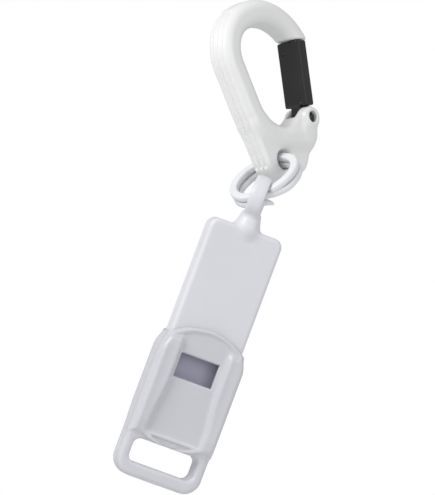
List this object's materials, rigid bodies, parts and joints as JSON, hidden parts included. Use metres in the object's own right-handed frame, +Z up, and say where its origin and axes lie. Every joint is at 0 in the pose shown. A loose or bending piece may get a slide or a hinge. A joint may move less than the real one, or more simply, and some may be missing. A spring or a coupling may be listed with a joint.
{
  "type": "training whistle",
  "caption": "Flat pea-less training whistle with a translucent slide-off mouth cover, hung by a split ring from a plastic snap hook with a sprung gate.",
  "frame": {"origin": "the point on the inside of the hook's bow where the whistle hangs", "axes": "+Z up along the whistle, +X across the whistle to the right, front faces -Y"},
  "size_m": [0.0403, 0.0363, 0.1336],
  "materials": {
    "hook_plastic": "satin white",
    "gate_plastic": "satin black",
    "ring_plastic": "satin pale grey",
    "body_plastic": "satin pale grey",
    "insert_plastic": "matt grey",
    "cover_plastic": "frosted translucent plastic"
  },
  "bodies": {
    "hook": {"carabiner_frame": "hook_plastic", "gate_pin": "gate_plastic"},
    "gate": {"gate": "gate_plastic", "gate_tail": "gate_plastic"},
    "ring": {"split_ring": "ring_plastic"},
    "whistle": {"shell_front": "body_plastic", "shell_back": "body_plastic", "windway_insert": "insert_plastic"},
    "cover": {"cover": "cover_plastic"}
  },
  "joints": [
    {"name": "gate_hinge", "type": "hinge", "parent": "hook", "child": "gate", "pos_m": [0.01915, -0.00058, -0.01975], "axis": [0.3977, -0.8209, 0.4098], "range_deg": [0, 24], "stiffness_Nm_per_rad": 0.02, "springref_deg": -17.19, "deforming": ["gate_tail"]},
    {"name": "ring_swing", "type": "hinge", "parent": "hook", "child": "ring", "pos_m": [0.01386, -0.00985, -0.03318], "axis": [0.3977, -0.8209, 0.4098], "range_deg": [-8, 8]},
    {"name": "whistle_swing", "type": "hinge", "parent": "ring", "child": "whistle", "pos_m": [0.00874, -0.02146, -0.04422], "axis": [0.9397, -0.342, 0], "range_deg": [-8, 8]},
    {"name": "cover_slide", "type": "slide", "parent": "whistle", "child": "cover", "axis": [0, 0, -1], "range_m": [0, 0.031]}
  ]
}
